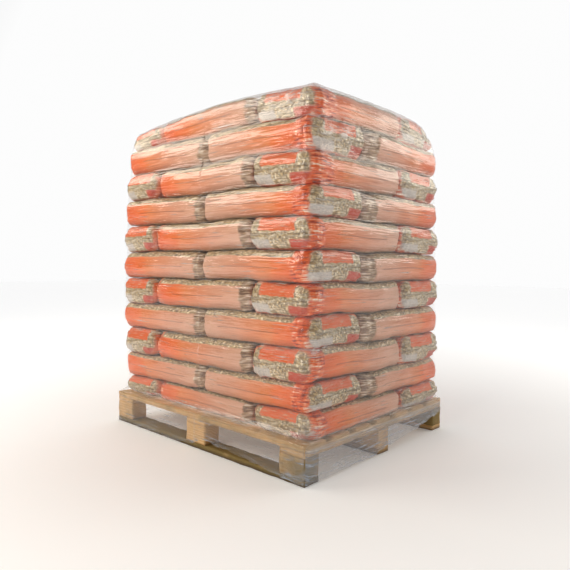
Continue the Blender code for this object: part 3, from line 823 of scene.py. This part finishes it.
def wind_sleeve(tree):
    """The wound film round the load, laid on the sacks and drawn across their joints."""
    top = LOAD_HIGH[2] + 0.0006
    side = np.linspace(LOAD_LOW[2] + 0.012, top - FILM_RING, FILM_ROWS)
    turns = np.linspace(0, math.pi / 2, SHOULDER_ROWS + 1)[1:]
    inward = np.linspace(0, FILM_TURNED_IN, TURNED_IN_ROWS + 1)[1:]
    stations = [(z, 0.0, 0.0) for z in side]
    stations += [(side[-1], turn, 0.0) for turn in turns]
    stations += [(side[-1], math.pi / 2, step) for step in inward]
    rows = len(stations)
    base = np.zeros((rows, FILM_COLUMNS, 3))
    facing = np.zeros((rows, FILM_COLUMNS, 3))
    for row, (z, turn, step) in enumerate(stations):
        half_x, half_y, middle = load_outline(z)
        loop, outward, run = rounded_loop(half_x, half_y, FILM_CORNER, FILM_COLUMNS)
        hem = 1.0 + 0.28 * ripple(np.stack([run, run * 0, run * 0], axis=-1), 0.30, 51)
        back = FILM_RING * (1 - math.cos(turn)) + step * hem
        base[row, :, :2] = loop - outward * back[:, None] + middle
        base[row, :, 2] = z + FILM_RING * math.sin(turn)
        facing[row, :, :2] = outward * math.cos(turn)
        facing[row, :, 2] = math.sin(turn)
    base = draw_in(base)
    start, deepest = 0.045, -0.050
    height = np.zeros((rows, FILM_COLUMNS))
    for row in range(rows):
        for column in range(FILM_COLUMNS):
            away = Vector(facing[row, column])
            hit = tree.ray_cast(Vector(base[row, column]) + away * start, -away, start - deepest)
            height[row, column] = start - hit[3] if hit[0] else deepest
    film = bridge(height, 9, 1, True)
    film = bridge(film, 2, 0, False)
    film = soften(soften(film, 5, 1, True), 1, 0, False)
    # At the top corners it is pulled down onto the sacks
    at_top = smooth_step(top - 0.110, top - 0.040, base[..., 2])
    snug = np.maximum(soften(height, 3, 1, True), -0.045)
    film += (snug - film) * at_top * cornering(base, 0.10)
    # The last turns are taut over the top edge
    turn_share = smooth_step(top - 0.075, top - 0.012, base[..., 2])
    taut = -0.011 - 0.024 * (1 - turn_share) - 0.026 * cornering(base, 0.10)
    film = np.maximum(film, taut)
    film = np.maximum(soften(np.maximum(film, height), 1, 1, True), height) + FILM_LIFT
    bunched = bunching(base)
    film += 0.0055 * bunched * (1 + creased(ripple(base, (0.05, 0.05, 0.028), 52))) / 2
    film += 0.0008 * (1 + ripple(base, (0.30, 0.30, 0.020), 53)).clip(0)
    points = base + facing * film[..., None]
    piece = mesh_object("film_sleeve", points.reshape(-1, 3), grid_faces(rows, FILM_COLUMNS, wrap=True))
    climb = np.cumsum(np.concatenate([[0], np.linalg.norm(np.diff(base[:, 0], axis=0), axis=1)]))
    rest = np.zeros((rows, FILM_COLUMNS, 3))
    rest[..., 0] = run[None, :]
    rest[..., 1] = climb[:, None]
    looks = {"lift": film - height, "bunched": bunched, "wrinkled": wrinkling(base), "shade": 0.5,
             "veil": 0.015 + 0.16 * smooth_step(top - 0.060, top - 0.010, base[..., 2])}
    return finish_film(piece, rest, looks)


# Height of the skirt's lower edge along each side, as (place along the side, height)
SKIRT_FRONT = ((-0.60, 0.004), (-0.35, 0.006), (-0.12, 0.004), (-0.02, 0.016), (0.03, 0.040), (0.09, 0.047),
               (0.14, 0.034), (0.20, 0.042), (0.27, 0.030), (0.38, 0.024), (0.48, 0.010), (0.60, 0.005))
SKIRT_RIGHT = ((-0.50, 0.005), (-0.21, 0.006), (-0.08, 0.008), (0.03, 0.024), (0.19, 0.036), (0.29, 0.047),
               (0.42, 0.070), (0.50, 0.082))
SKIRT_BACK = ((-0.60, 0.040), (-0.30, 0.018), (0.00, 0.030), (0.30, 0.050), (0.60, 0.082))
SKIRT_LEFT = ((-0.50, 0.005), (-0.20, 0.022), (0.10, 0.012), (0.50, 0.040))


def skirt_edge(points, outward):
    edge = np.zeros(len(points))
    for direction, axis, profile in (((0, -1), 0, SKIRT_FRONT), ((1, 0), 1, SKIRT_RIGHT),
                                     ((0, 1), 0, SKIRT_BACK), ((-1, 0), 1, SKIRT_LEFT)):
        share = (outward @ np.array(direction)).clip(0) ** 2
        places, heights = zip(*profile)
        edge += share * np.interp(points[:, axis], places, heights)
    return edge


def hang_skirt(tree):
    """The lowest turns, drawn from the load's foot out over the pallet's rim and down its sides."""
    rim_low, rim_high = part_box("deck_board_1")[0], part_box("deck_board_7")[1]
    half = (np.array(rim_high) - np.array(rim_low))[:2] / 2 + RIM_GAP
    half[0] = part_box("stringer_board_3")[1][0] + RIM_GAP
    rim_top = rim_high[2] + RIM_GAP
    loop, outward, run = rounded_loop(half[0], half[1], RIM_CORNER, SKIRT_COLUMNS)
    foot_z = LOAD_LOW[2] + SKIRT_FOOT
    load_x, load_y, middle = load_outline(foot_z)
    inner, _, _ = rounded_loop(load_x + 0.002, load_y + 0.002, FILM_CORNER, SKIRT_COLUMNS)
    inner = inner + middle
    edge = skirt_edge(loop, outward)
    ragged = np.stack([run, run * 0, run * 0], axis=-1)
    edge = (edge + 0.0025 * ripple(ragged, 0.06, 61)).clip(0.0025)
    points = []
    for step in np.linspace(0, 1, SKIRT_FLARE_ROWS):
        plan = inner * (1 - step) + loop * step
        sag = 0.016 * step * (1 - step) * 4
        z = foot_z * (1 - step) + rim_top * step
        points.append(np.column_stack([plan, np.full(len(plan), z) - sag * 0.35]))
    for step in np.linspace(0, 1, SKIRT_DROP_ROWS + 1)[1:]:
        z = rim_top * (1 - step) + edge * step
        drawn_in = 0.004 * math.sin(math.pi * step)
        points.append(np.column_stack([loop - outward * drawn_in * 0.2, z]))
    grid = np.array(points)
    normal = surface_normals(grid)
    wave = ripple(grid, (0.30, 0.30, 0.045), 62)
    grid -= normal * (0.0011 * (1 + wave).clip(0))[..., None]
    piece = mesh_object("film_skirt", grid.reshape(-1, 3), grid_faces(len(grid), SKIRT_COLUMNS, wrap=True))
    lengths = np.linalg.norm(np.diff(grid, axis=0), axis=2)
    climb = np.concatenate([np.zeros((1, SKIRT_COLUMNS)), np.cumsum(lengths, axis=0)])
    rest = np.zeros(grid.shape)
    rest[..., 0] = run[None, :]
    rest[..., 1] = climb
    low = smooth_step(0.05, 0.0, grid[..., 2] - edge[None, :])
    bunched = 0.30 * low * (1 + ripple(grid, (0.12, 0.12, 0.05), 63)).clip(0) + bunching(grid)
    hanging = smooth_step(rim_top - 0.004, rim_top - 0.020, grid[..., 2])
    right = (outward @ np.array((1, 0))).clip(0)[None, :]
    rim = np.exp(-((grid[..., 2] - rim_top + 0.008) / 0.016) ** 2)
    flared = smooth_step(rim_top + 0.002, rim_top + 0.010, grid[..., 2])
    # On the right the film over the openings gets a thicker bluish veil, painted shade of the openings behind it
    looks = {"lift": 0.0, "bunched": bunched, "wrinkled": 1.2 + 0.8 * flared + 0.5 * right * hanging,
             "veil": 0.03 + 0.10 * rim + right * (0.26 * rim + 0.20 * hanging),
             "shade": 0.5 - 0.5 * rim + 0.5 * hanging * (1 - rim)}
    return finish_film(piece, rest, looks)


# Pallet

# How green the wet softwood is, and how dark and dirty, from 0 to 1
MOSS = {"block_7": 0.7, "block_8": 0.25, "block_9": 1.0, "bottom_board_1": 1.0, "block_3": 0.5}
GRIME = {"block_7": 0.8, "block_9": 0.4, "bottom_board_1": 0.8, "deck_board_1": 0.9, "stringer_board_3": 0.6}


def board(node, material, seed):
    """A sawn board or block over its node, with worn edges and a slight wave."""
    low, high = (np.array(corner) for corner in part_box(node))
    size = high - low
    long = int(np.argmax(size))
    shape = bmesh.new()
    matrix = Matrix.Translation((low + high) / 2) @ Matrix.Diagonal((*size, 1.0))
    bmesh.ops.create_cube(shape, size=1.0, matrix=matrix)
    for axis in range(3):
        cuts = int(size[axis] / BOARD_SPACING)
        edges = [edge for edge in shape.edges
                 if abs((edge.verts[0].co - edge.verts[1].co)[axis]) > size[axis] * 0.9]
        if cuts > 0:
            bmesh.ops.subdivide_edges(shape, edges=edges, cuts=cuts, use_grid_fill=True)
    mesh = bpy.data.meshes.new(node + "_sawn")
    shape.to_mesh(mesh)
    shape.free()
    piece = bpy.data.objects.new(node + "_sawn", mesh)
    bpy.context.scene.collection.objects.link(piece)
    points = np.array([vertex.co[:] for vertex in mesh.vertices])
    rest = points - (low + high) / 2
    depth = size / 2 - np.abs(rest)
    on_face = depth < 1e-5
    edges = on_face.sum(axis=1) >= 2
    worn = 0.0006 * (1.1 + ripple(points + seed, 0.05, 31)).clip(0) * edges
    moved = points - np.sign(rest) * on_face * worn[:, None]
    waves = 0.0003 * (1 + ripple(points + seed, (0.16, 0.16, 0.05), 32)).clip(0)
    single = on_face & ~edges[:, None]
    moved -= np.sign(rest) * single * waves[:, None]
    mesh.vertices.foreach_set("co", moved.ravel())
    mesh.shade_smooth()
    mesh.update()
    axes = [long] + [axis for axis in range(3) if axis != long]
    heart = np.array([seed * 1.3, 0.015 * (seed % 5) - 0.03, 0.035 + 0.012 * (seed % 4)])
    keep_vector(piece, "rest", rest[:, axes] + heart)
    draw = np.random.default_rng(seed)
    keep_number(piece, "tone", np.full(len(points), draw.uniform(-1, 1) + GRIME.get(node, 0.0)))
    keep_number(piece, "moss", np.full(len(points), MOSS.get(node, draw.uniform(0, 0.3))))
    keep_number(piece, "damp", 1.0 - smooth_step(0.0, 0.030, points[:, 2]))
    mesh.materials.append(material)
    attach(piece, "root")
    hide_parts(node)
    return piece


# Stage

CAMERA_PLACE = (1.813, -1.933, 0.771)
CAMERA_YAW = 42.50          # degrees, anticlockwise from looking along +Y
CAMERA_PITCH = -2.13
CAMERA_ROLL = 0.63
FOCAL_PIXELS = 551.2
PHOTO_WIDTH = 570
SENSOR = 36.0
WALL_STRENGTH = 0.98
DIM_STRENGTH = 0.21
LAMP_COLOUR = "#FFF5E6"
BRIGHT_WALL = (-0.42, 0.91, 0.0)


def place_camera():
    data = bpy.data.cameras.new("camera")
    data.sensor_width = SENSOR
    data.lens = FOCAL_PIXELS / PHOTO_WIDTH * SENSOR
    camera = bpy.data.objects.new("camera", data)
    level = Matrix.Rotation(math.radians(CAMERA_YAW), 4, "Z")
    tilt = Matrix.Rotation(math.radians(90 + CAMERA_PITCH), 4, "X")
    roll = Matrix.Rotation(math.radians(CAMERA_ROLL), 4, "Z")
    camera.matrix_world = Matrix.Translation(CAMERA_PLACE) @ level @ tilt @ roll
    bpy.context.scene.collection.objects.link(camera)
    bpy.context.scene.camera = camera


def area_light(name, place, target, size, power):
    data = bpy.data.lights.new(name, "AREA")
    data.shape = "RECTANGLE"
    data.size, data.size_y = size
    data.energy = power
    data.color = linear(LAMP_COLOUR)[:3]
    light = bpy.data.objects.new(name, data)
    aim = Vector(target) - Vector(place)
    light.matrix_world = Matrix.Translation(place) @ aim.to_track_quat("-Z", "Y").to_matrix().to_4x4()
    bpy.context.scene.collection.objects.link(light)


def set_stage():
    shape = bmesh.new()
    bmesh.ops.create_grid(shape, x_segments=1, y_segments=1, size=20.0)
    mesh = bpy.data.meshes.new("floor")
    shape.to_mesh(mesh)
    shape.free()
    floor = bpy.data.objects.new("floor", mesh)
    floor.location.z = -0.001
    bpy.context.scene.collection.objects.link(floor)
    material, tree, shader = new_material("pale_floor")
    shader.inputs["Base Color"].default_value = linear("#F6F6F6")
    shader.inputs["Roughness"].default_value = 0.9
    # The floor glows, a painted light: faintly near the load, which lifts the shade there, and more far off, so
    # that far off it is as bright as the walls and no line shows where they meet
    away = add(tree, "ShaderNodeVectorMath", {0: add(tree, "ShaderNodeTexCoord").outputs["Object"]},
               operation="LENGTH").outputs["Value"]
    shader.inputs["Emission Color"].default_value = linear("#FFFFFF")
    tree.links.new(ramped(tree, away, 0.5, 3.6, 0.12, 0.58), shader.inputs["Emission Strength"])
    mesh.materials.append(material)
    middle = (0.0, 0.0, 0.7)
    area_light("key", (0.3, -4.0, 2.6), middle, (1.6, 1.2), 46)
    area_light("front_strip", (-2.7, -2.5, 2.9), (0.0, -0.3, 0.9), (3.2, 1.3), 74)
    area_light("right_strip", (2.8, 3.0, 2.5), (0.6, 0.1, 0.9), (3.2, 1.2), 44)
    bpy.context.scene.view_settings.view_transform = "Standard"


def set_walls():
    """White studio walls behind the load, and dim ones on the side that its front faces."""
    world = bpy.data.worlds.new("studio")
    bpy.context.scene.world = world
    world.use_nodes = True
    tree = world.node_tree
    direction = add(tree, "ShaderNodeTexCoord").outputs["Generated"]
    toward = add(tree, "ShaderNodeVectorMath", {0: direction, 1: BRIGHT_WALL}, operation="DOT_PRODUCT")
    strength = ramped(tree, toward.outputs["Value"], 0.25, 0.68, DIM_STRENGTH, WALL_STRENGTH)
    sky = tree.nodes["Background"]
    sky.inputs["Color"].default_value = linear("#FFFFFF")
    tree.links.new(strength, sky.inputs["Strength"])


def main():
    place_camera()
    set_stage()
    set_walls()
    sack_film = printed_sack_material()
    stretch_film_material()
    sacks = [sack for layer in LAYERS for sack in lay_layer(layer, sack_film)]
    top_sheet = lay_top_sheet(solid_tree([sack for sack in sacks if sack.name.startswith("sack_11")]))
    load = solid_tree(sacks + [top_sheet])
    wind_sleeve(load)
    hang_skirt(load)
    pine = pine_material()
    wooden = [name for name in sorted(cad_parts) if "board" in name or "block" in name]
    for seed, node in enumerate(wooden):
        board(node, pine, seed)


main()
